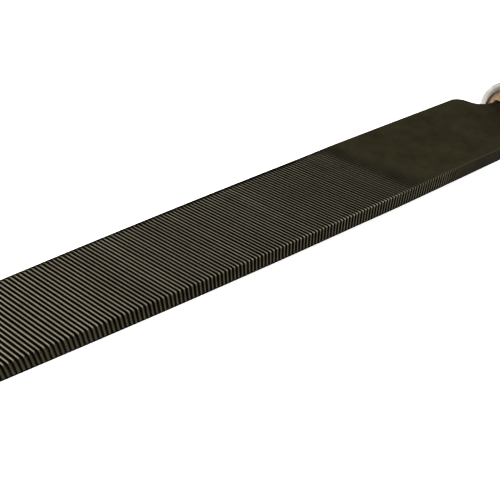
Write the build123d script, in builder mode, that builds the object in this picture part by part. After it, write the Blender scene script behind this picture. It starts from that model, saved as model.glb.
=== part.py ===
from build123d import *
import os
from math import cos, radians, sin

# Flat file, single cut, 300 mm (12 in) long from shoulder to tip, on a driven-on wooden handle.
#
# The tool lies along X with its tip at -X and the handle's butt at +X. Its two wide faces look
# up (+Z) and down (-Z). The origin is half way along the tool, on its axis. Units are millimetres.
#
# Three pieces come apart on the bench: the blade with its tang (one forging), the wooden handle,
# and the steel ferrule pressed on the handle's nose so that the tang can't split the wood.

# ---- driving dimensions -------------------------------------------------------------------------
BLADE_LENGTH = 300.0  # shoulder to tip
BLADE_WIDTH = 30.0  # at the heel, where the edges are still parallel
BLADE_THICKNESS = 5.5

BELLY_START = 42.0  # distance from the shoulder at which the edges begin to curve in
BELLY_END = 155.0  # and from here they run straight on to the tip
BELLY_RADIUS = 2800.0
THICKNESS_STATIONS = [(0, 2.75), (165, 2.75), (215, 2.6), (265, 2.25), (BLADE_LENGTH, 1.8)]

TOOTH_PITCH = 1.07  # along X, on the faces and on the edges
TOOTH_ANGLE = 70.0  # between a face tooth and the file's axis
TOOTH_DEPTH = 0.42
TOOTH_LAND = 0.10  # width of the crest
TOOTH_FRONT = 0.30  # the steep front of a tooth, which faces the tip
FACE_CUT_START = 47.0  # first face tooth on the centre line, measured from the shoulder
EDGE_CUT_START = 27.0
FADE_TEETH = 5  # the first teeth at the heel are cut less deep
COMB_CLEAR = 0.05  # gap between the cutting comb's body and the crests
COMB_HEIGHT = 1.5
COMB_REACH = 110.0  # each way from the middle of the tool, so that slanting teeth span the tip too

SHOULDER_TURN = 75.0  # how far the outline turns in at each shoulder, in degrees
SHOULDER_RADIUS = 5.0
TANG_LENGTH = 85.0  # shoulder to the tang's end
TANG_ROOT_HALF = (6.5, 2.75)  # half width and half thickness where the tang begins
TANG_END_HALF = (1.5, 1.25)

HANDLE_GAP = 14.0  # shoulder to the handle's front
HANDLE_LENGTH = 132.0
SOCKET_CLEARANCE = 0.15  # round the tang, in the socket that it has opened for itself
SOCKET_SPARE = 4.0  # the pilot hole goes on past the tang's end
# Behind the ferrule: distance from the front, and the radius to which the wood is turned.
TURNED_OUTLINE = [(23, 12.3), (60, 13.9), (100, 15.9), (120, 15.2), (HANDLE_LENGTH, 0)]
# Distance from the front, and half the width across the eight flats.
FLATS_OUTLINE = [(20, 12.8), (45, 11.5), (75, 13.2), (100, 14.7), (HANDLE_LENGTH, 15.0)]
HANDLE_STEP = 0.8  # chamfer of the shoulder that the ferrule butts against

FERRULE_LENGTH = 20.0
FERRULE_INNER = 10.4
FERRULE_WALL = 1.1
FERRULE_LIP_RADIUS = 8.6  # the rolled-in front edge leaves this opening round the tang
FERRULE_ROUNDS = [0.4, 0.9]  # at the lip and at the front corner

# ---- places along X -----------------------------------------------------------------------------
OVERALL_LENGTH = BLADE_LENGTH + HANDLE_GAP + HANDLE_LENGTH
TIP_X = -OVERALL_LENGTH / 2
SHOULDER_X = TIP_X + BLADE_LENGTH
HANDLE_X = SHOULDER_X + HANDLE_GAP
TANG_END_X = SHOULDER_X + TANG_LENGTH
HALF_WIDTH = BLADE_WIDTH / 2
HALF_THICKNESS = BLADE_THICKNESS / 2


def half_width(distance):
    """Half of the blade's width at a distance from the shoulder: parallel, an arc, then straight."""
    along_arc = min(max(distance - BELLY_START, 0.0), BELLY_END - BELLY_START)
    straight = max(distance - BELLY_END, 0.0)
    slope = (BELLY_END - BELLY_START) / BELLY_RADIUS
    return HALF_WIDTH - along_arc**2 / (2 * BELLY_RADIUS) - slope * straight


def half_thickness(distance):
    """Half of the blade's thickness at a distance from the shoulder, straight between stations."""
    stations = THICKNESS_STATIONS
    for (near, at_near), (far, at_far) in zip(stations, stations[1:]):
        if distance <= far:
            share = max(distance - near, 0.0) / (far - near)
            return at_near + share * (at_far - at_near)
    return stations[-1][1]


def tooth_profile(first, last, lift=0.0):
    """(distance from the shoulder, height over the crests) for a row of teeth, heel to tip."""
    count = int((last - first) / TOOTH_PITCH)
    points = []
    for tooth in range(count):
        start = first + tooth * TOOTH_PITCH
        depth = TOOTH_DEPTH * min(1.0, (tooth + 1) / FADE_TEETH)
        points.append((start, lift))
        points.append((start + TOOTH_LAND, lift))
        points.append((start + TOOTH_LAND + TOOTH_FRONT, -depth))
    points.append((first + count * TOOTH_PITCH, lift))
    return points


def tang_half(x, axis):
    """Half of the tang's width (axis 0) or thickness (axis 1) at x."""
    share = (x - tang_root_x) / (TANG_END_X - tang_root_x)
    return TANG_ROOT_HALF[axis] + share * (TANG_END_HALF[axis] - TANG_ROOT_HALF[axis])


# The outline turns in at the shoulder on one arc and back on a second, which ends at the tang.
turn = radians(SHOULDER_TURN)
tang_radius = (HALF_WIDTH - TANG_ROOT_HALF[0]) / (1 - cos(turn)) - SHOULDER_RADIUS
tang_root_x = SHOULDER_X + (SHOULDER_RADIUS + tang_radius) * sin(turn)

os.makedirs("parts", exist_ok=True)

# ---- file_blade: blade and tang, one forging of tool steel --------------------------------------
with BuildPart() as file_blade:
    # Plan outline, half of it drawn and mirrored. The edge teeth are part of it.
    with BuildSketch() as plan:
        with BuildLine() as outline:
            edge = [
                (SHOULDER_X - distance, half_width(distance) + height)
                for distance, height in tooth_profile(EDGE_CUT_START, BLADE_LENGTH)
            ]
            tip_corner = (TIP_X, half_width(BLADE_LENGTH))
            Polyline((SHOULDER_X, HALF_WIDTH), *edge, tip_corner, (TIP_X, 0))
            shoulder = JernArc((SHOULDER_X, HALF_WIDTH), (1, 0), SHOULDER_RADIUS, -SHOULDER_TURN)
            root = JernArc(shoulder @ 1, shoulder % 1, tang_radius, SHOULDER_TURN)
            Polyline(root @ 1, (TANG_END_X, TANG_END_HALF[0]), (TANG_END_X, 0))
            mirror(about=Plane.XZ)
        make_face()
    extrude(amount=BLADE_THICKNESS, both=True)

    # Side outline: the faces are parallel at the heel and run together towards tip and tang.
    with BuildSketch(Plane.XZ) as side:
        with BuildLine() as thickness:
            stations = [(SHOULDER_X - distance, half) for distance, half in THICKNESS_STATIONS]
            Polyline(
                (TIP_X, 0),
                *reversed(stations),
                (tang_root_x, TANG_ROOT_HALF[1]),
                (TANG_END_X, TANG_END_HALF[1]),
                (TANG_END_X, 0),
            )
            mirror(about=Plane.XZ)
        make_face()
    extrude(amount=BLADE_WIDTH, both=True, mode=Mode.INTERSECT)

    # Face teeth: one comb of slanting ridges cuts each face. Half a turn about X carries the upper
    # comb to the lower face, so both faces read the same when the file is turned over.
    angle = radians(TOOTH_ANGLE)
    for flip in (1, -1):
        comb_plane = Plane(
            origin=(0, 0, 0),
            x_dir=(sin(angle), flip * cos(angle), 0),
            z_dir=(cos(angle), -flip * sin(angle), 0),
        )
        past_tip = BLADE_LENGTH + HALF_WIDTH / 2
        ridges = [
            ((SHOULDER_X - distance) * sin(angle), half_thickness(distance) + height)
            for distance, height in tooth_profile(FACE_CUT_START, past_tip, lift=COMB_CLEAR)
        ]
        top = HALF_THICKNESS + COMB_HEIGHT
        with BuildSketch(comb_plane) as comb:
            with BuildLine():
                Polyline((ridges[0][0], top), *ridges, (ridges[-1][0], top), close=True)
            make_face()
        extrude(amount=COMB_REACH, both=True, mode=Mode.SUBTRACT)

file_blade.part.label = "file_blade"

# ---- handle: turned hardwood with eight flats and a tapered socket -------------------------------
with BuildPart() as handle:
    with BuildSketch(Plane.XZ) as turning:
        with BuildLine() as lathe_line:
            step_x = HANDLE_X + FERRULE_LENGTH
            swell = [(HANDLE_X + distance, radius) for distance, radius in TURNED_OUTLINE]
            Polyline(
                swell[-1],
                (HANDLE_X, 0),
                (HANDLE_X, FERRULE_INNER),
                (step_x, FERRULE_INNER),
                (step_x, swell[0][1] - HANDLE_STEP),
                (step_x + HANDLE_STEP, swell[0][1]),
                swell[0],
            )
            Spline(*swell, tangents=[(1, 0), (0, -1)])
        make_face()
    revolve(axis=Axis.X)

    # The flats run out where the handle is slimmer than they are, at its front and at its butt.
    for pair in range(4):
        turn_of_pair = radians(pair * 45)
        slab_plane = Plane(
            origin=(0, 0, 0),
            x_dir=(1, 0, 0),
            z_dir=(0, -sin(turn_of_pair), cos(turn_of_pair)),
        )
        with BuildSketch(slab_plane) as slab:
            with BuildLine() as flat_line:
                flats = [(HANDLE_X + distance, half) for distance, half in FLATS_OUTLINE]
                Spline(*flats)
                Polyline(flats[-1], (flats[-1][0], 0), (HANDLE_X, 0), (HANDLE_X, flats[0][1]), flats[0])
                mirror(about=Plane.XZ)
            make_face()
        extrude(amount=BLADE_WIDTH, both=True, mode=Mode.INTERSECT)

    # Socket: the shape of the tang with a little room round it, and a pilot hole past its end.
    socket_end = TANG_END_X + SOCKET_SPARE
    for station in (HANDLE_X, socket_end):
        across = [2 * (tang_half(station, axis) + SOCKET_CLEARANCE) for axis in (0, 1)]
        with BuildSketch(Plane(origin=(station, 0, 0), x_dir=(0, 1, 0), z_dir=(1, 0, 0))):
            Rectangle(*across)
    loft(mode=Mode.SUBTRACT)

handle.part.label = "handle"

# ---- ferrule: steel collar with its front edge rolled in over the wood --------------------------
with BuildPart() as ferrule:
    with BuildSketch(Plane.XZ) as wall:
        with BuildLine() as section:
            outer = FERRULE_INNER + FERRULE_WALL
            front = HANDLE_X - FERRULE_WALL
            back = HANDLE_X + FERRULE_LENGTH
            FilletPolyline(
                (HANDLE_X, FERRULE_LIP_RADIUS),
                (front, FERRULE_LIP_RADIUS),
                (front, outer),
                (back, outer),
                radius=FERRULE_ROUNDS,
            )
            Polyline(
                (back, outer),
                (back, FERRULE_INNER),
                (HANDLE_X, FERRULE_INNER),
                (HANDLE_X, FERRULE_LIP_RADIUS),
            )
        make_face()
    revolve(axis=Axis.X)

ferrule.part.label = "ferrule"

for piece in (file_blade, handle, ferrule):
    export_step(piece.part, f"parts/{piece.part.label}.step")
    print(piece.part.label, round(piece.part.volume), piece.part.bounding_box().size)
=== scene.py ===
from math import cos, pi, radians, sin, tan

import bmesh
import bpy
import numpy as np
from mathutils import Matrix, Vector


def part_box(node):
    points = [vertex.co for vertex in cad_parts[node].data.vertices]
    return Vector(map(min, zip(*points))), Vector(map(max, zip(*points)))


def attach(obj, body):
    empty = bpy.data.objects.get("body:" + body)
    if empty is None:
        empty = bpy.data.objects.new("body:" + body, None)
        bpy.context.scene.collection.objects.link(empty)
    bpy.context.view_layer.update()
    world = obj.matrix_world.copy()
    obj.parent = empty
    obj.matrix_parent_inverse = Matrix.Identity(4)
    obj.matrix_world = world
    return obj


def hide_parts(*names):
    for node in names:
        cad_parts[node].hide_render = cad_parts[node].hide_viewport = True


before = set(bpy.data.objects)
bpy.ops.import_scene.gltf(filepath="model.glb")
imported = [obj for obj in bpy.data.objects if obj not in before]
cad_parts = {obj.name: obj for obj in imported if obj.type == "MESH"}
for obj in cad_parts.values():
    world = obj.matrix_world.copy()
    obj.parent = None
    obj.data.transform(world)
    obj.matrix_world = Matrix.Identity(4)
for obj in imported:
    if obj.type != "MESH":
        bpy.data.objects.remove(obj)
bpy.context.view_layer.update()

# A single-cut flat file with its handle. The tip is at -X, the handle's butt at +X, and the upper wide
# face looks along +Z. Shapes are worked out in millimetres and written to the meshes in metres.
MM = 0.001

# ---- the blade's dimensions, as in the CAD source -------------------------------------------------
BLADE_LENGTH = 300.0
BELLY_START = 42.0
BELLY_END = 155.0
BELLY_RADIUS = 2800.0
THICKNESS_STATIONS = [(0, 2.75), (165, 2.75), (215, 2.6), (265, 2.25), (BLADE_LENGTH, 1.8)]
PITCH = 1.07
TOOTH_SHEAR = 1 / tan(radians(70))  # how far a face tooth moves along the file for each mm across it
FACE_DEPTH = 0.42
EDGE_DEPTH = 0.36
FACE_CUT_START = 47.0
EDGE_CUT_START = 27.0
FACE_FADE_TEETH = 20
EDGE_FADE_TEETH = 9
SHOULDER_TURN = radians(75)
SHOULDER_RADIUS = 5.0
TANG_ROOT_HALF = (6.5, 2.75)
TANG_END_HALF = (1.5, 1.25)

SOCKET_CLEARANCE = 0.15
SOCKET_SPARE = 4.0
TURNED_OUTLINE = [(23, 12.3), (60, 13.9), (100, 15.9), (120, 15.2), (132, 0)]
FLATS_OUTLINE = [(20, 12.8), (45, 11.5), (75, 13.2), (100, 14.7), (132, 15.0)]
HANDLE_STEP = 0.8
FERRULE_INNER = 10.4
FERRULE_LIP = 8.6

# ---- the handle's and the ferrule's finish --------------------------------------------------------
HIDDEN_GAP = 0.05  # keeps the wood's and the ferrule's hidden faces apart
TOOL_MARKS = 0.012
NOSE_CHAMFER = 0.5
NOSE_LOOP = 9.0  # radius of the mesh loop between the socket and the chamfer
MOUTH_LENGTH = 0.4  # the socket opens out over this length, by these shares of its width and height
MOUTH_SCALE = (1, 1.05, 1.08)
SOCKET_SQUARENESS = 12  # the higher, the squarer the socket's corners
SMALLEST_LOOP = 0.4  # radius of the last loop at the butt
HANDLE_FIT = 0.998  # the dents and marks stay inside the wood's outline
CENTRE_MARK = 0.5  # depth of the dimple that the lathe's centre left in the butt
CENTRE_MARK_RADIUS = 1.8
FLAT_COUNT = 8
FLAT_SHARPNESS = 40.0  # the higher, the crisper the corners between the flats
CORNER_SHARPNESS = 60.0  # the same, where the flats run out into the turned shape
DENT_SIZE = (2.2, 1.6)  # along the grip and round it
# Dents in the grip: place along X, angle round it, depth.
HANDLE_DENTS = [(150, 1.9, 0.16), (187, 0.8, 0.22), (201, 2.6, 0.14), (171, 4.4, 0.2), (209, 5.3, 0.25)]
PUNCH_DEPTH = 0.45
PUNCH_RADIUS = 0.7
PUNCH_ANGLES = [radians(112), radians(292)]
FERRULE_ROUNDS = (0.45, 0.9, 0.35)  # inside the lip, outside the lip, at the back
FERRULE_BODY = (1.2, 0.5)  # how far its straight outside keeps from the front and the back
GROOVE_FROM_BACK = 4.2
GROOVE_DEPTH = 0.22
GROOVE_WIDTH = 0.45
FERRULE_RIPPLE = 0.006

# ---- the blade's finish ---------------------------------------------------------------------------
# One tooth, from its crest towards the tip: share of the pitch, and share of the depth.
TOOTH_PROFILE = [(0.0, 0.0), (0.09, 0.0), (0.22, 0.50), (0.36, 0.97), (0.46, 1.0), (0.73, 0.52)]
PITCH_JITTER = 0.018
DEPTH_JITTER = 0.07  # share of the depth
CREST_WEAR = 0.035
CREST_NICKS = 0.02
TOOTH_BOW = 0.02
EDGE_SLANT = tan(radians(3))  # the edges' teeth lean this much
CORNER = 0.09  # the worn corner between a face and an edge
ROLL_WIDTH = 0.7  # the faces roll off over this width towards their corners
ROLL_DROP = 0.10
CREST_ROLL = 0.30  # the teeth are worn down to this depth at the far corner, where little is left of them
CREST_ROLL_WIDTH = 1.6
FAR_RIPPLE = 0.15  # share of the teeth's depth that is left there
EDGE_CROWN = 0.22  # how far the edge is rounded back at its lower corner
CROWN_RISE = 3  # the crown starts at nought in the upper corner and is whole a third of the way down
EDGE_FADE = 0.55  # share of the edge's height below which its teeth run out
TANG_ROUND = 0.45  # how much more the tang's corners are rounded than the blade's
TANG_END_SCALE = 0.7
FORGING_MARKS = 0.02  # share of the tang's size

# ---- what the teeth's colours say (see Half.tooth_colour) -----------------------------------------
WEAR_LENGTH = 110.0  # the faces' teeth are coloured brighter away from the heel over this length
WEAR_POWER = 0.7
CUT_POWER = 0.5  # shallow teeth already show
GULLET_POWER = 0.4
FAR_CORNER_DARK = 0.4
CORNER_HIGHLIGHT = (0.25, 1.0)  # painted highlight along the near corner: on the plain heel, and at the teeth
EDGE_BRIGHTNESS_IN_SHADE = 0.25  # painted shade: the edges' teeth are painted darker than the faces', less so towards the heel
EDGE_CREST_HIGHLIGHT = 0.75  # painted highlight where the edges' crests meet the faces' corners
EDGE_GULLET_LOSS = 0.66  # the edges' painted gullet shade is lighter away from the heel, so their gullets look shallower there
# painted shade on the plain heel's edge
HEEL_EDGE_DARK = 0.25
HEEL_EDGE_FALL = 3  # how fast that darkness gives way to the teeth

# ---- how finely the blade is drawn ----------------------------------------------------------------
FAN_LENGTH = 22.0  # over this length of the heel the mesh rows turn from square to slanting
TIP_BEVEL = 0.25
ACROSS = np.array([0, 0.006, 0.022, *np.linspace(0.06, 0.94, 13), 0.978, 0.994, 1])  # shares of a row
DOWN = np.array([0, 0.12, 0.35, 0.65, 0.88, 1])  # shares of the edge's height
OUTLINE_STEPS = 6  # enough rounds for a row's end to settle on the outline
SHARP_ANGLE = radians(32)  # mesh corners sharper than this stay crisp, on all three pieces
CURVE_POINTS = 140

# ---- places from the frame ------------------------------------------------------------------------
blade_low, blade_high = (np.array(corner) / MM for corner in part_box("file_blade"))
handle_low, _ = (np.array(corner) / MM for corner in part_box("handle"))
ferrule_low, ferrule_high = (np.array(corner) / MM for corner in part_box("ferrule"))
TIP_X = blade_low[0]
TANG_END_X = blade_high[0]
SHOULDER_X = TIP_X + BLADE_LENGTH
HALF_WIDTH = blade_high[1]
HALF_THICKNESS = blade_high[2]
TIP_ROW_X = TIP_X + TIP_BEVEL
FLOOR_Z = handle_low[2]

TANG_RADIUS = (HALF_WIDTH - TANG_ROOT_HALF[0]) / (1 - cos(SHOULDER_TURN)) - SHOULDER_RADIUS
TANG_ROOT_X = SHOULDER_X + (SHOULDER_RADIUS + TANG_RADIUS) * sin(SHOULDER_TURN)


def half_width(x):
    """Half of the blade's width at x: parallel at the heel, then an arc, then straight to the tip."""
    distance = SHOULDER_X - x
    along_arc = np.clip(distance - BELLY_START, 0, BELLY_END - BELLY_START)
    straight = np.maximum(distance - BELLY_END, 0)
    slope = (BELLY_END - BELLY_START) / BELLY_RADIUS
    return HALF_WIDTH - along_arc**2 / (2 * BELLY_RADIUS) - slope * straight


def half_thickness(x):
    """Half of the blade's thickness at x, straight between stations."""
    distances, halves = zip(*THICKNESS_STATIONS)
    return np.interp(SHOULDER_X - x, distances, halves)


def smoothstep(share):
    share = np.clip(share, 0, 1)
    return share * share * (3 - 2 * share)


def along_x(x, places, values):
    """Values known at places that run from heel to tip, read at x."""
    return np.interp(x, places[::-1], values[::-1])


# ---- the blade's mesh -----------------------------------------------------------------------------
class Half:
    """One face with the edge beside it, in rows that follow the teeth from the shoulder to the tip.

    Both halves are drawn as the upper face (z > 0) with the near edge (y < 0). Half a turn about X
    carries the second one to the lower face and the far edge.
    """

    def __init__(self, seed):
        rng = np.random.default_rng(seed)
        rows = [(0, 0, 0, 0, 0, 0)]
        first = -int(FACE_CUT_START / PITCH)
        first_edge = int((EDGE_CUT_START + HALF_WIDTH * TOOTH_SHEAR - FACE_CUT_START) / PITCH)
        past_tip = BLADE_LENGTH + HALF_WIDTH * TOOTH_SHEAR
        bow = []
        for tooth in range(first, int((past_tip - FACE_CUT_START) / PITCH)):
            start = FACE_CUT_START + tooth * PITCH + rng.normal(0, PITCH_JITTER)
            face_cut = smoothstep((tooth + 1) / FACE_FADE_TEETH)
            edge_cut = smoothstep((tooth - first_edge + 1) / EDGE_FADE_TEETH)
            depth = np.array([FACE_DEPTH * face_cut, EDGE_DEPTH * edge_cut])
            face, edge = depth * rng.normal(1, DEPTH_JITTER, 2)
            worn = CREST_WEAR * rng.random(2)
            for share, sunk in TOOTH_PROFILE:
                face_sunk = face * sunk + face_cut * worn[0] * (1 - sunk)
                edge_sunk = edge * sunk + edge_cut * worn[1] * (1 - sunk)
                rows.append((start + share * PITCH, face_sunk, edge_sunk, sunk, face_cut, edge_cut))
            bow.append(rng.normal(0, TOOTH_BOW))
        distance, self.face_sunk, self.edge_sunk, self.sunk, self.face_cut, self.edge_cut = np.array(rows).T
        self.bow = np.concatenate([[0], np.repeat(bow, len(TOOTH_PROFILE))]) * self.face_cut
        self.centre = SHOULDER_X - distance
        self.shear = TOOTH_SHEAR * smoothstep(distance / FAN_LENGTH)
        self.rng = rng
        rolled = CREST_ROLL * self.face_cut
        self.far_sunk = rolled + FAR_RIPPLE * (self.face_sunk - rolled)
        self.near_x, self.near_y = self.row_ends(-1, self.edge_sunk + CORNER)
        self.stop_at_tip()

    def row_ends(self, side, inset):
        """Where the rows meet the outline on one side (-1 near, 1 far), inset from it."""
        x = self.centre
        for _ in range(OUTLINE_STEPS):
            y = side * (half_width(x) - inset)
            x = self.centre - self.shear * y
        return x, y

    def stop_at_tip(self):
        """Drops the rows past the tip. The last one shrinks to the near corner of the tip."""
        last = int(np.argmax(self.near_x <= TIP_ROW_X))
        for name, values in vars(self).items():
            if isinstance(values, np.ndarray):
                setattr(self, name, values[: last + 1])
        self.near_x[last] = TIP_ROW_X
        self.rows = last + 1

    def edge_low_x(self):
        """Where the edge's rows reach the lower corner."""
        return self.near_x + self.edge_skew() + 2 * HALF_THICKNESS * self.edge_slant()

    def edge_skew(self):
        """Gullets reach the face nearer the middle, where its slanting row is nearer the tip."""
        return self.edge_sunk * self.shear * smoothstep((self.near_x - TIP_ROW_X) / PITCH)

    def edge_slant(self):
        """The edge teeth lean a little, except at both ends, where the rows are square."""
        ends = np.minimum(SHOULDER_X - self.near_x, self.near_x - TIP_ROW_X) / FAN_LENGTH * 2
        return EDGE_SLANT * smoothstep(ends)

    def meet_far_edge(self):
        """Ends the rows at the far edge, where the other half's edge teeth have run out, or at the tip."""
        self.far_x, self.far_y = self.row_ends(1, EDGE_CROWN + CORNER)
        past = self.far_x < TIP_ROW_X
        self.corner_row = int(np.argmax(past))
        self.far_x = np.where(past, TIP_ROW_X, self.far_x)
        on_tip_line = (self.centre - TIP_ROW_X) / np.maximum(self.shear, TOOTH_SHEAR / 2)
        self.far_y = np.where(past, on_tip_line, self.far_y)
        self.far_y[self.corner_row] = half_width(TIP_ROW_X) - CORNER
        self.far_x[-1], self.far_y[-1] = self.near_x[-1], self.near_y[-1]

    def face_points(self):
        """Rows by columns, from the far side to the near side."""
        share = ACROSS[None, :]
        x = self.far_x[:, None] + share * (self.near_x - self.far_x)[:, None]
        y = self.far_y[:, None] + share * (self.near_y - self.far_y)[:, None]
        length = np.hypot(self.near_x - self.far_x, self.near_y - self.far_y)[:, None]
        from_side = np.minimum(share, 1 - share) * length
        roll = ROLL_DROP * np.clip(1 - from_side / ROLL_WIDTH, 0, 1) ** 2
        teeth = self.rows // len(TOOTH_PROFILE) + 1
        nicks = CREST_NICKS * self.rng.random((teeth, len(ACROSS))) ** 2
        nicks = np.repeat(nicks, len(TOOTH_PROFILE), axis=0)[: self.rows]
        nicks *= ((1 - self.sunk) * self.face_cut)[:, None]
        far_roll = np.clip(1 - share * length / CREST_ROLL_WIDTH, 0, 1) ** 2
        sunk = self.face_sunk[:, None] + far_roll * (self.far_sunk - self.face_sunk)[:, None]
        z = half_thickness(x) - sunk - roll - nicks
        x = x + self.bow[:, None] * np.sin(pi * share)
        return np.stack([x, y, z], axis=-1)

    def edge_points(self, other):
        """Rows by columns, from the upper corner to the lower one, which is the other half's."""
        share = DOWN[None, :]
        skew = self.edge_skew()[:, None] * np.clip(share / DOWN[1], 0, 1)
        top_z = half_thickness(self.near_x) - self.face_sunk - CORNER
        low_x = self.edge_low_x()
        far_sunk = along_x(low_x, other.far_x[: other.corner_row], other.far_sunk[: other.corner_row])
        low_z = -(half_thickness(low_x) - far_sunk - CORNER)
        z = top_z[:, None] + share * (low_z - top_z)[:, None]
        x = self.near_x[:, None] + skew + (HALF_THICKNESS - z) * self.edge_slant()[:, None]
        crown = EDGE_CROWN * (z / half_thickness(x)) ** 2 * smoothstep(share * CROWN_RISE)
        cut = self.edge_sunk[:, None] * (1 - smoothstep((share - EDGE_FADE) / (1 - EDGE_FADE)))
        y = -(half_width(x) - cut - crown)
        return np.stack([x, y, z], axis=-1)

    def from_heel(self):
        """Nought where the teeth start, one from WEAR_LENGTH further towards the tip."""
        return np.clip((SHOULDER_X - FACE_CUT_START - self.centre) / WEAR_LENGTH, 0, 1)

    def tooth_colour(self, cut, wear_and_light, columns):
        """Red: how deep in a gullet, which sets the painted gullet shade. Green: how fully the teeth are cut.
        Blue: how bright they are, from the brightening away from the heel and from painted highlight and
        painted shade.
        """
        row = np.stack([self.sunk * cut**GULLET_POWER, cut**CUT_POWER, wear_and_light * cut**2], axis=-1)
        return np.repeat(row[:, None, :], columns, axis=1)

    def face_colour(self):
        """The face's colours: dark where it rolls off at the far side, a painted highlight along the near
        corner.
        """
        colour = self.tooth_colour(self.face_cut, self.from_heel() ** WEAR_POWER, len(ACROSS))
        far = (ACROSS * 2 * HALF_WIDTH < CREST_ROLL_WIDTH) * self.face_cut[:, None] * FAR_CORNER_DARK
        colour[:, :, 0] = np.maximum(colour[:, :, 0], far)
        # Painted highlight along the near corner.
        corner_highlight = CORNER_HIGHLIGHT[0] + (CORNER_HIGHLIGHT[1] - CORNER_HIGHLIGHT[0]) * self.face_cut
        colour[:, -1, 2] = corner_highlight
        colour[:, -2, 2] = np.maximum(colour[:, -2, 2], corner_highlight * self.face_cut)
        return colour

    def edge_colour(self):
        """The edge's colours: painted shade that is lighter towards the heel and darker past it, and a
        painted black line of shade along the bottom.
        """
        from_heel = self.from_heel()
        # Painted shade: the edge's teeth are darker than the face's, less so towards the heel.
        colour = self.tooth_colour(self.edge_cut, EDGE_BRIGHTNESS_IN_SHADE * (1 - from_heel), len(DOWN))
        colour[:, 1:, 0] *= 1 - EDGE_GULLET_LOSS * from_heel[:, None]
        # Painted shade: the plain heel's edge counts as a gullet that hardly shows, so that it is a little
        # darker than the face.
        colour[:, :, 0] = np.maximum(colour[:, :, 0], 1 - HEEL_EDGE_FALL * colour[:, :, 1])
        colour[:, :, 1] = np.maximum(colour[:, :, 1], HEEL_EDGE_DARK)
        # Painted highlight along the edge's upper corner, on the crests.
        crests = EDGE_CREST_HIGHLIGHT * self.edge_cut * (1 - self.sunk)
        colour[:, 0, 2] = np.maximum(colour[:, 0, 2], crests)
        # Painted shade: a near-black line along the lower corner.
        colour[:, -1, :2] = 1
        return colour


def half_turn(points):
    return points * np.array([1, -1, -1])


class Shell:
    """Vertices, faces and the tooth colours of a growing mesh."""

    def __init__(self):
        self.blocks = []
        self.colours = []
        self.faces = []
        self.count = 0

    def add(self, points, colours=None):
        """Adds a grid or a row of points and gives back their numbers in the same shape."""
        flat = points.reshape(-1, 3)
        numbers = np.arange(self.count, self.count + len(flat)).reshape(points.shape[:-1])
        self.blocks.append(flat)
        self.colours.append(np.zeros((len(flat), 3)) if colours is None else colours.reshape(-1, 3))
        self.count += len(flat)
        return numbers

    def grid(self, numbers):
        """Four-sided faces between neighbours of a grid of numbers."""
        corners = (numbers[:-1, :-1], numbers[1:, :-1], numbers[1:, 1:], numbers[:-1, 1:])
        self.faces += np.stack([c.ravel() for c in corners], axis=-1).tolist()

    def ring(self, loop, next_loop):
        """Faces between two closed loops of the same length."""
        self.grid(np.stack([np.append(loop, loop[0]), np.append(next_loop, next_loop[0])]))

    def zip(self, one, other):
        """Triangles between two borders that both run from heel to tip, each with its own spacing."""
        x = np.concatenate(self.blocks)[:, 0]
        i = j = 0
        while i < len(one) - 1 or j < len(other) - 1:
            step_one = j == len(other) - 1 or (i < len(one) - 1 and x[one[i + 1]] >= x[other[j + 1]])
            if step_one:
                self.faces.append([one[i], one[i + 1], other[j]])
                i += 1
            else:
                self.faces.append([one[i], other[j + 1], other[j]])
                j += 1

    def piece(self, name):
        """The finished mesh object, with its normals outwards and its corners crisp."""
        mesh = bpy.data.meshes.new(name)
        mesh.from_pydata((np.concatenate(self.blocks) * MM).tolist(), [], self.faces)
        work = bmesh.new()
        work.from_mesh(mesh)
        bmesh.ops.recalc_face_normals(work, faces=work.faces)
        work.to_mesh(mesh)
        work.free()
        mesh.polygons.foreach_set("use_smooth", [True] * len(mesh.polygons))
        mesh.set_sharp_from_angle(angle=SHARP_ANGLE)
        colours = np.concatenate(self.colours)
        if colours.any():
            layer = mesh.attributes.new("tooth", "FLOAT_COLOR", "POINT")
            full = np.column_stack([colours, np.ones(len(colours))])
            layer.data.foreach_set("color", full.ravel())
        mesh.update()
        obj = bpy.data.objects.new(name, mesh)
        bpy.context.scene.collection.objects.link(obj)
        return obj


def tang_outline():
    """x, half width and half thickness of the shoulders and the tang, away from the blade."""
    outline = []
    for angle in np.linspace(0, SHOULDER_TURN, 9)[1:]:
        x = SHOULDER_X + SHOULDER_RADIUS * sin(angle)
        outline.append((x, HALF_WIDTH - SHOULDER_RADIUS * (1 - cos(angle))))
    for angle in np.linspace(SHOULDER_TURN, 0, 13)[1:]:
        x = TANG_ROOT_X - TANG_RADIUS * sin(angle)
        outline.append((x, TANG_ROOT_HALF[0] + TANG_RADIUS * (1 - cos(angle))))
    for share in np.linspace(0, 1, 50)[1:]:
        x = TANG_ROOT_X + share * (TANG_END_X - TANG_ROOT_X)
        outline.append((x, TANG_ROOT_HALF[0] + share * (TANG_END_HALF[0] - TANG_ROOT_HALF[0])))
    x, width = np.array(outline).T
    share = np.clip((x - TANG_ROOT_X) / (TANG_END_X - TANG_ROOT_X), 0, 1)
    return x, width, TANG_ROOT_HALF[1] + share * (TANG_END_HALF[1] - TANG_ROOT_HALF[1])


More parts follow.
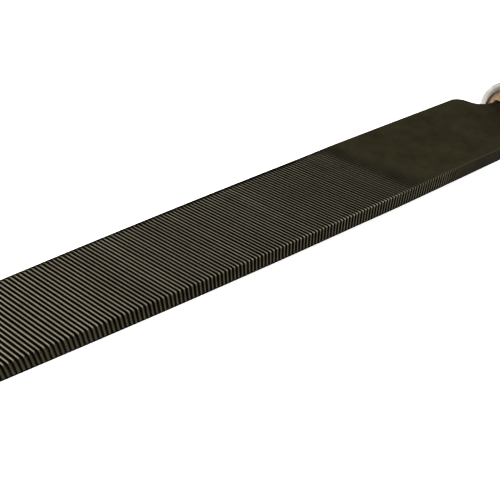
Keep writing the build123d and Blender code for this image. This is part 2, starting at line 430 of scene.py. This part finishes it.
def tang_loops(shell, loop, rng):
    """Carries the heel's loop over the shoulders and along the forged tang to its end."""
    forged = lambda size: 1 - FORGING_MARKS * rng.random(size)
    stations = list(zip(*tang_outline()))
    for count, (x, width, thickness) in enumerate(stations):
        round_off = CORNER + TANG_ROUND * smoothstep((x - SHOULDER_X) / (4 * SHOULDER_RADIUS))
        at_end = TANG_END_SCALE if count == len(stations) - 1 else 1.0
        across = at_end * (width - round_off) * (1 - 2 * ACROSS)
        from_side = width - round_off - abs(across)
        roll = round_off * np.clip(1 - from_side / (2 * round_off), 0, 1) ** 2
        upper = at_end * (thickness - roll) * forged(len(ACROSS))
        down = at_end * (thickness - 1.6 * round_off) * (1 - 2 * DOWN)
        side = -at_end * (width - round_off * abs(1 - 2 * DOWN) ** 2 * 0.5) * forged(len(DOWN))
        face = np.column_stack([np.full(len(ACROSS), x), across, upper])
        edge = np.column_stack([np.full(len(DOWN), x), side, down])
        points = np.concatenate([face, edge, half_turn(face), half_turn(edge)])
        next_loop = shell.add(points)
        shell.ring(loop, next_loop)
        loop = next_loop
    shell.faces.append(loop.tolist())


def make_blade():
    upper, lower = Half(7), Half(19)
    upper.meet_far_edge()
    lower.meet_far_edge()
    shell = Shell()
    faces, edges = [], []
    for half, other, turn in ((upper, lower, False), (lower, upper, True)):
        place = half_turn if turn else (lambda points: points)
        face_points = half.face_points()
        face_colour = half.face_colour()
        face = shell.add(place(face_points[:-1]), face_colour[:-1])
        corner = shell.add(place(face_points[-1, -1:]), face_colour[-1, -1:])
        shell.grid(face)
        shell.faces += [[face[-1, j], face[-1, j + 1], corner[0]] for j in range(len(ACROSS) - 1)]
        edge = shell.add(place(half.edge_points(other)), half.edge_colour())
        shell.grid(edge)
        near = np.append(face[:, -1], corner)
        shell.grid(np.stack([near, edge[:, 0]]))
        far = face[: half.corner_row + 1, 0]
        tip_line = np.append(face[half.corner_row :, 0], corner)
        faces.append((face, far, tip_line))
        edges.append(edge)
    shell.zip(faces[0][1], edges[1][:, -1])
    shell.zip(faces[1][1], edges[0][:, -1])

    # The tip: a small bevel and a flat end.
    rim = np.concatenate([faces[0][2], edges[0][-1], faces[1][2], edges[1][-1]])
    points = np.concatenate(shell.blocks)[rim]
    shrink = [1 - TIP_BEVEL / half_width(TIP_X), 1 - TIP_BEVEL / half_thickness(TIP_X)]
    end = shell.add(np.column_stack([np.full(len(rim), TIP_X), points[:, 1:] * shrink]))
    shell.ring(rim, end)
    shell.faces.append(end.tolist())

    heel = np.concatenate([faces[0][0][0], edges[0][0], faces[1][0][0], edges[1][0]])
    tang_loops(shell, heel, np.random.default_rng(3))
    return shell.piece("blade_and_tang")


# ---- the handle and the ferrule -------------------------------------------------------------------
def curve_through(points, first=None, last=None):
    """Points along a smooth curve through the given ones, with given directions at its ends."""
    points = np.array(points, float)
    steps = np.linalg.norm(np.diff(points, axis=0), axis=1)
    slopes = np.diff(points, axis=0) / steps[:, None]
    matrix = np.diag(np.ones(len(points)))
    right = np.zeros_like(points)
    for i in range(1, len(points) - 1):
        before, after = steps[i - 1 : i + 1]
        matrix[i, i - 1 : i + 2] = after, 2 * (before + after), before
        right[i] = 3 * (before * slopes[i] + after * slopes[i - 1])
    for end, inner, direction, slope in ((0, 1, first, slopes[0]), (-1, -2, last, slopes[-1])):
        if direction is None:
            matrix[end, end], matrix[end, inner] = 2, 1
            right[end] = 3 * slope
        else:
            right[end] = direction
    tangents = np.linalg.solve(matrix, right)
    along = np.concatenate([[0], np.cumsum(steps)])
    place = np.linspace(0, along[-1], CURVE_POINTS)
    span = np.clip(np.searchsorted(along, place, side="right") - 1, 0, len(steps) - 1)
    length = steps[span][:, None]
    t = (place - along[span])[:, None] / length
    start, end = points[span], points[span + 1]
    curve = start * (2 * t**3 - 3 * t**2 + 1) + end * (3 * t**2 - 2 * t**3)
    return curve + length * (tangents[span] * (t**3 - 2 * t**2 + t) + tangents[span + 1] * (t**3 - t**2))


def circle_loop(x, radius, angles):
    """A loop round the tool's axis. The radius and x are numbers or one for each angle."""
    return np.column_stack([x + 0 * angles, radius * np.cos(angles), radius * np.sin(angles)])


def socket_loop(x, angles):
    """The socket's outline at x: the tang's with a little room, its corners blunt."""
    share = (x - TANG_ROOT_X) / (TANG_END_X - TANG_ROOT_X)
    half = [r + share * (e - r) + SOCKET_CLEARANCE for r, e in zip(TANG_ROOT_HALF, TANG_END_HALF)]
    across, down = abs(np.cos(angles)) / half[0], abs(np.sin(angles)) / half[1]
    reach = (across**SOCKET_SQUARENESS + down**SOCKET_SQUARENESS) ** (-1 / SOCKET_SQUARENESS)
    return circle_loop(x, reach, angles)


def grip_radius(turned, flats, angles):
    """The handle's radius: turned round, with eight flats whose corners are worn soft."""
    facing = [np.maximum(np.cos(angles - k * 2 * pi / FLAT_COUNT), 0) for k in range(FLAT_COUNT)]
    nearest = sum(share**FLAT_SHARPNESS for share in facing) ** (1 / FLAT_SHARPNESS)
    return (turned**-CORNER_SHARPNESS + (flats / nearest) ** -CORNER_SHARPNESS) ** (-1 / CORNER_SHARPNESS)


def make_handle():
    angles = np.linspace(0, 2 * pi, 96, endpoint=False)
    rng = np.random.default_rng(5)
    front = handle_low[0]
    step_x = ferrule_high[0]
    nose = FERRULE_INNER - HIDDEN_GAP
    loops = [socket_loop(x, angles) for x in np.linspace(TANG_END_X + SOCKET_SPARE, front + MOUTH_LENGTH, 12)]
    loops.append(socket_loop(front, angles) * MOUTH_SCALE)
    ahead = [(front, NOSE_LOOP), (front, nose - NOSE_CHAMFER), (front + NOSE_CHAMFER, nose), (step_x, nose)]
    loops += [circle_loop(x, radius, angles) for x, radius in ahead]
    turned = curve_through([(front + d, r) for d, r in TURNED_OUTLINE], first=(1, 0), last=(0, -1))
    flats = curve_through([(front + d, half) for d, half in FLATS_OUTLINE])
    chamfer = [(step_x + HIDDEN_GAP, TURNED_OUTLINE[0][1] - HANDLE_STEP)]
    chamfer.append((step_x + HANDLE_STEP, TURNED_OUTLINE[0][1]))
    for x, radius in [*chamfer, *turned[1:-1]]:
        tool_mark = TOOL_MARKS * rng.normal()
        full = grip_radius(max(radius, SMALLEST_LOOP), np.interp(x, *flats.T), angles)
        dents = sum(
            depth * np.exp(-(((x - at_x) / DENT_SIZE[0]) ** 2) - ((angles - at) * radius / DENT_SIZE[1]) ** 2)
            for at_x, at, depth in HANDLE_DENTS
        )
        centre_mark = CENTRE_MARK * max(0, 1 - (radius / CENTRE_MARK_RADIUS) ** 2)
        loops.append(circle_loop(x - centre_mark, (full - dents + tool_mark) * HANDLE_FIT, angles))
    shell = Shell()
    numbers = [shell.add(loop) for loop in loops]
    for loop, next_loop in zip(numbers, numbers[1:]):
        shell.ring(loop, next_loop)
    shell.faces += [numbers[0].tolist(), numbers[-1].tolist()]
    return shell.piece("handle_grip")


def arc(centre, radius, start, stop, count=6):
    """Points on an arc in the (x, radius) half plane, angles in degrees."""
    angles = np.radians(np.linspace(start, stop, count))
    return [(centre[0] + radius * cos(a), centre[1] + radius * sin(a)) for a in angles]


def make_ferrule():
    angles = np.linspace(0, 2 * pi, 160, endpoint=False)
    rng = np.random.default_rng(11)
    front, outer, back = ferrule_low[0], ferrule_high[1], ferrule_high[0]
    lip = handle_low[0]
    inside_lip, outside_lip, at_back = FERRULE_ROUNDS
    profile = [(lip - HIDDEN_GAP, FERRULE_INNER), (lip - HIDDEN_GAP, FERRULE_LIP)]
    profile += arc((front + inside_lip, FERRULE_LIP + inside_lip), inside_lip, 270, 180)
    profile += arc((front + outside_lip, outer - outside_lip), outside_lip, 180, 90, 8)
    body = np.linspace(front + FERRULE_BODY[0], back - FERRULE_BODY[1], 44)
    groove = GROOVE_DEPTH * np.exp(-(((body - back + GROOVE_FROM_BACK) / GROOVE_WIDTH) ** 2))
    profile += list(zip(body, outer - groove))
    profile += arc((back - at_back, outer - at_back), at_back, 90, 0)
    profile.append((back, FERRULE_INNER))
    middle = (front + back) / 2
    shell = Shell()
    numbers = []
    for x, radius in profile:
        on_outside = radius > FERRULE_INNER + 0.3 and x > front + 1
        from_marks = [np.hypot(x - middle, (angles - at) * outer) / PUNCH_RADIUS for at in PUNCH_ANGLES]
        punched = sum(PUNCH_DEPTH * np.exp(-(away**2)) for away in from_marks)
        ripple = FERRULE_RIPPLE * rng.normal()
        numbers.append(shell.add(circle_loop(x, radius - on_outside * (punched + abs(ripple)), angles)))
    for loop, next_loop in zip(numbers, numbers[1:] + numbers[:1]):
        shell.ring(loop, next_loop)
    return shell.piece("ferrule_collar")


# ---- materials ------------------------------------------------------------------------------------
class Nodes:
    """A short way to write a material's node tree around its Principled shader."""

    def __init__(self, name):
        self.material = bpy.data.materials.new(name)
        self.material.use_nodes = True
        self.tree = self.material.node_tree
        self.shader = self.tree.nodes["Principled BSDF"]

    def add(self, kind, inputs=(), **settings):
        """A new node. Inputs are (name or number, value or output socket)."""
        node = self.tree.nodes.new(f"ShaderNode{kind}")
        for name, value in settings.items():
            setattr(node, name, value)
        self.fill(node, inputs)
        return node

    def fill(self, node, inputs):
        for key, value in inputs:
            if isinstance(value, bpy.types.NodeSocket):
                self.tree.links.new(value, node.inputs[key])
            else:
                node.inputs[key].default_value = value

    def math(self, operation, *values):
        return self.add("Math", list(enumerate(values)), operation=operation).outputs[0]

    def vector(self, operation, *values):
        return self.add("VectorMath", list(enumerate(values)), operation=operation).outputs[0]

    def ramp(self, value, *stops):
        """A colour ramp through (position, grey or colour) stops."""
        node = self.add("ValToRGB", [(0, value)])
        elements = node.color_ramp.elements
        while len(elements) < len(stops):
            elements.new(0.5)
        for element, (position, colour) in zip(elements, stops):
            element.position = position
            element.color = (*colour, 1) if isinstance(colour, tuple) else (colour, colour, colour, 1)
        return node.outputs[0]

    def mix(self, factor, one, other, blend_type="MIX"):
        node = self.add("Mix", data_type="RGBA", blend_type=blend_type)
        self.fill(node, [(0, factor), (6, one), (7, other)])
        return node.outputs[2]

    def stretched(self, scale):
        """Object coordinates stretched by a scale for each axis."""
        place = self.add("TexCoord").outputs["Object"]
        return self.add("Mapping", [("Vector", place), ("Scale", scale)]).outputs[0]

    def noise(self, scale, vector, detail=4.0, roughness=0.6):
        inputs = [("Vector", vector), ("Scale", scale), ("Detail", detail), ("Roughness", roughness)]
        return self.add("TexNoise", inputs).outputs[0]

    def bump(self, height, distance, strength):
        inputs = [("Height", height), ("Distance", distance), ("Strength", strength)]
        return self.add("Bump", inputs).outputs[0]


def file_steel():
    """Hardened tool steel: oiled, brown-black on the heel, bared on the teeth, with painted near-black shade
    in the gullets.
    """
    nodes = Nodes("file_steel")
    tooth = nodes.add("Attribute", attribute_name="tooth").outputs["Color"]
    gullet_depth, cut, wear_and_light = nodes.add("SeparateColor", [(0, tooth)]).outputs
    plain = nodes.stretched((1, 1, 1))
    patches = nodes.noise(130, plain, detail=6, roughness=0.75)
    fine = nodes.noise(1400, plain, detail=3)
    heel = nodes.ramp(patches, (0.36, (0.0225, 0.0205, 0.0120)), (0.62, (0.0335, 0.0310, 0.0198)))
    fresh = nodes.ramp(patches, (0.3, (0.030, 0.0265, 0.0175)), (0.7, (0.043, 0.038, 0.027)))
    worn = nodes.ramp(patches, (0.3, (0.195, 0.175, 0.128)), (0.7, (0.250, 0.228, 0.175)))
    # Painted shade in the gullets: it looks 1.9 times as deep, and so wider, between fresh teeth. Fine noise
    # frays its borders.
    wider = nodes.math("MULTIPLY", gullet_depth, nodes.math("MULTIPLY_ADD", wear_and_light, -0.9, 1.9))
    depth = nodes.math("ADD", wider, nodes.math("MULTIPLY_ADD", fine, 0.24, -0.12))
    gullet = nodes.ramp(depth, (0.12, 0.0), (0.55, 1.0))
    teeth = nodes.mix(gullet, nodes.mix(wear_and_light, fresh, worn), (0.0015, 0.0012, 0.0006, 1))
    colour = nodes.mix(cut, nodes.mix(wear_and_light, heel, worn), teeth)
    # Painted shade darkens the half-cut teeth between the heel and the full ones.
    half_cut = nodes.math("MULTIPLY", nodes.math("POWER", cut, 2.0), nodes.math("SUBTRACT", 1.0, cut))
    dulled = nodes.math("MULTIPLY_ADD", half_cut, -1.9, 1.0)
    colour = nodes.mix(1.0, colour, dulled, blend_type="MULTIPLY")
    # The painted gullet shade also takes the reflection out of the gullets, through the Specular Tint.
    gullet_shade = nodes.math("MULTIPLY", gullet, cut)
    glancing = nodes.mix(gullet_shade, (0.40, 0.37, 0.26, 1), (0.02, 0.02, 0.01, 1))
    nodes.fill(
        nodes.shader,
        [
            ("Base Color", colour),
            ("Metallic", 0.9),
            ("Roughness", nodes.math("MULTIPLY_ADD", fine, 0.25, 0.30)),
            ("Specular IOR Level", 0.2),
            ("Specular Tint", glancing),
            ("Normal", nodes.bump(fine, 0.00002, 0.5)),
        ],
    )
    return nodes.material


def handle_wood():
    """Ash under thin lacquer: rings round a pith beside the handle, pores along the grain, grime."""
    early_wood, late_wood, fibre_wood = (0.34, 0.20, 0.092, 1), (0.20, 0.10, 0.038, 1), (0.24, 0.13, 0.052, 1)
    pore_colour, grime_colour = (0.09, 0.045, 0.018, 1), (0.07, 0.045, 0.026, 1)
    ring_width, pith = 0.0026, (0, 0.030, -0.022)
    nodes = Nodes("handle_wood")
    place = nodes.stretched((1, 1, 1))
    sway = nodes.add("TexNoise", [("Vector", nodes.stretched((6, 30, 30))), ("Scale", 1.0), ("Detail", 2.0)])
    moved = nodes.vector("SUBTRACT", sway.outputs["Color"], (0.5, 0.5, 0.5))
    moved = nodes.vector("ADD", place, nodes.vector("MULTIPLY", moved, (0, 0.012, 0.012)))
    across = nodes.vector("MULTIPLY", nodes.vector("SUBTRACT", moved, pith), (0.04, 1, 1))
    radius = nodes.add("VectorMath", [(0, across)], operation="LENGTH").outputs["Value"]
    ring = nodes.math("FRACT", nodes.math("MULTIPLY", radius, 1 / ring_width))
    pores = nodes.noise(1.0, nodes.stretched((90, 2200, 2200)), detail=3, roughness=0.7)
    fibre = nodes.noise(1.0, nodes.stretched((25, 700, 700)), detail=4, roughness=0.6)
    late = nodes.ramp(ring, (0.0, 0.0), (0.55, 0.15), (0.92, 0.9), (1.0, 0.0))
    colour = nodes.mix(late, early_wood, late_wood)
    colour = nodes.mix(nodes.ramp(fibre, (0.35, 0.0), (0.7, 0.55)), colour, fibre_wood)
    pore = nodes.ramp(pores, (0.60, 0.0), (0.68, 0.8))
    in_early_wood = nodes.ramp(ring, (0.0, 1.0), (0.5, 0.2))
    colour = nodes.mix(nodes.math("MULTIPLY", pore, in_early_wood), colour, pore_colour)
    grime = nodes.noise(28, place, detail=5, roughness=0.7)
    colour = nodes.mix(nodes.ramp(grime, (0.52, 0.0), (0.75, 0.45)), colour, grime_colour)
    nodes.fill(
        nodes.shader,
        [
            ("Base Color", colour),
            ("Roughness", nodes.math("MULTIPLY_ADD", grime, 0.35, 0.22)),
            ("Normal", nodes.bump(nodes.math("SUBTRACT", fibre, pore), 0.00008, 0.5)),
            ("Coat Weight", 0.35),
            ("Coat Roughness", 0.22),
        ],
    )
    return nodes.material


def ferrule_steel():
    """Drawn steel with fine marks round it, dulled in patches and scratched along."""
    nodes = Nodes("ferrule_steel")
    round_marks = nodes.noise(1.0, nodes.stretched((5200, 140, 140)), detail=4, roughness=0.7)
    scratches = nodes.noise(1.0, nodes.stretched((160, 2600, 2600)), detail=2, roughness=0.8)
    patches = nodes.noise(160, nodes.stretched((1, 1, 1)), detail=6, roughness=0.7)
    dull, plain, bright = (0.17, 0.16, 0.14), (0.32, 0.31, 0.285), (0.40, 0.39, 0.37)
    colour = nodes.ramp(patches, (0.32, dull), (0.5, plain), (0.7, bright))
    rough = nodes.math("MULTIPLY_ADD", patches, -0.25, 0.46)
    marks = nodes.math("ADD", round_marks, nodes.math("MULTIPLY", scratches, 0.4))
    nodes.fill(
        nodes.shader,
        [
            ("Base Color", colour),
            ("Metallic", 1.0),
            ("Roughness", rough),
            ("Normal", nodes.bump(marks, 0.00003, 0.45)),
        ],
    )
    return nodes.material


# ---- making the pieces ----------------------------------------------------------------------------
for make, material, body, node in (
    (make_blade, file_steel, "blade", "file_blade"),
    (make_handle, handle_wood, "grip", "handle"),
    (make_ferrule, ferrule_steel, "grip", "ferrule"),
):
    piece = make()
    piece.data.materials.append(material())
    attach(piece, body)
    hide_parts(node)

# ---- camera, light and floor ----------------------------------------------------------------------
# The camera looks at a point near the near edge, a third of the way from the heel to the tip.
VIEW_POINT = Vector((SHOULDER_X - 103.86, -11.15, HALF_THICKNESS)) * MM
VIEW_AZIMUTH = radians(-36.43)
VIEW_ELEVATION = radians(43.14)
VIEW_ROLL = radians(2.76)
VIEW_DISTANCE = 0.15185
VIEW_LENS = 43.2


def make_camera():
    camera = bpy.data.objects.new("camera", bpy.data.cameras.new("camera"))
    bpy.context.scene.collection.objects.link(camera)
    out = Vector((sin(VIEW_AZIMUTH), -cos(VIEW_AZIMUTH), tan(VIEW_ELEVATION))).normalized()
    turned = out.to_track_quat("Z", "Y").to_matrix().to_4x4() @ Matrix.Rotation(VIEW_ROLL, 4, "Z")
    camera.matrix_world = Matrix.Translation(VIEW_POINT + out * VIEW_DISTANCE) @ turned
    camera.data.lens = VIEW_LENS
    camera.data.clip_start = 0.01
    bpy.context.scene.camera = camera


def make_lamp(name, place, size, power):
    """A soft square lamp that looks at the middle of the blade."""
    lamp = bpy.data.objects.new(name, bpy.data.lights.new(name, "AREA"))
    lamp.data.size = size
    lamp.data.energy = power
    lamp.location = place
    lamp.rotation_euler = Vector(place).to_track_quat("Z", "Y").to_euler()
    bpy.context.scene.collection.objects.link(lamp)


def make_floor():
    mesh = bpy.data.meshes.new("floor")
    work = bmesh.new()
    bmesh.ops.create_circle(work, cap_ends=True, segments=96, radius=4)
    work.to_mesh(mesh)
    work.free()
    floor = bpy.data.objects.new("floor", mesh)
    floor.location.z = FLOOR_Z * MM
    bpy.context.scene.collection.objects.link(floor)
    nodes = Nodes("floor")
    white = (0.9, 0.9, 0.9, 1)
    nodes.fill(
        nodes.shader,
        [
            ("Base Color", white),
            ("Roughness", 0.9),
            ("Emission Color", white),
            ("Emission Strength", 0.7),  # enough to wash out the part's shadow
        ],
    )
    mesh.materials.append(nodes.material)


make_camera()
make_floor()
make_lamp("key", (-0.5, 0.5, 0.9), 1.0, 20)
make_lamp("fill", (-0.7, -0.8, 0.6), 0.8, 4)
world = bpy.data.worlds.new("studio")
world.use_nodes = True
world.node_tree.nodes["Background"].inputs["Color"].default_value = (1, 1, 1, 1)
world.node_tree.nodes["Background"].inputs["Strength"].default_value = 1.0
bpy.context.scene.world = world
bpy.context.scene.view_settings.view_transform = "Standard"
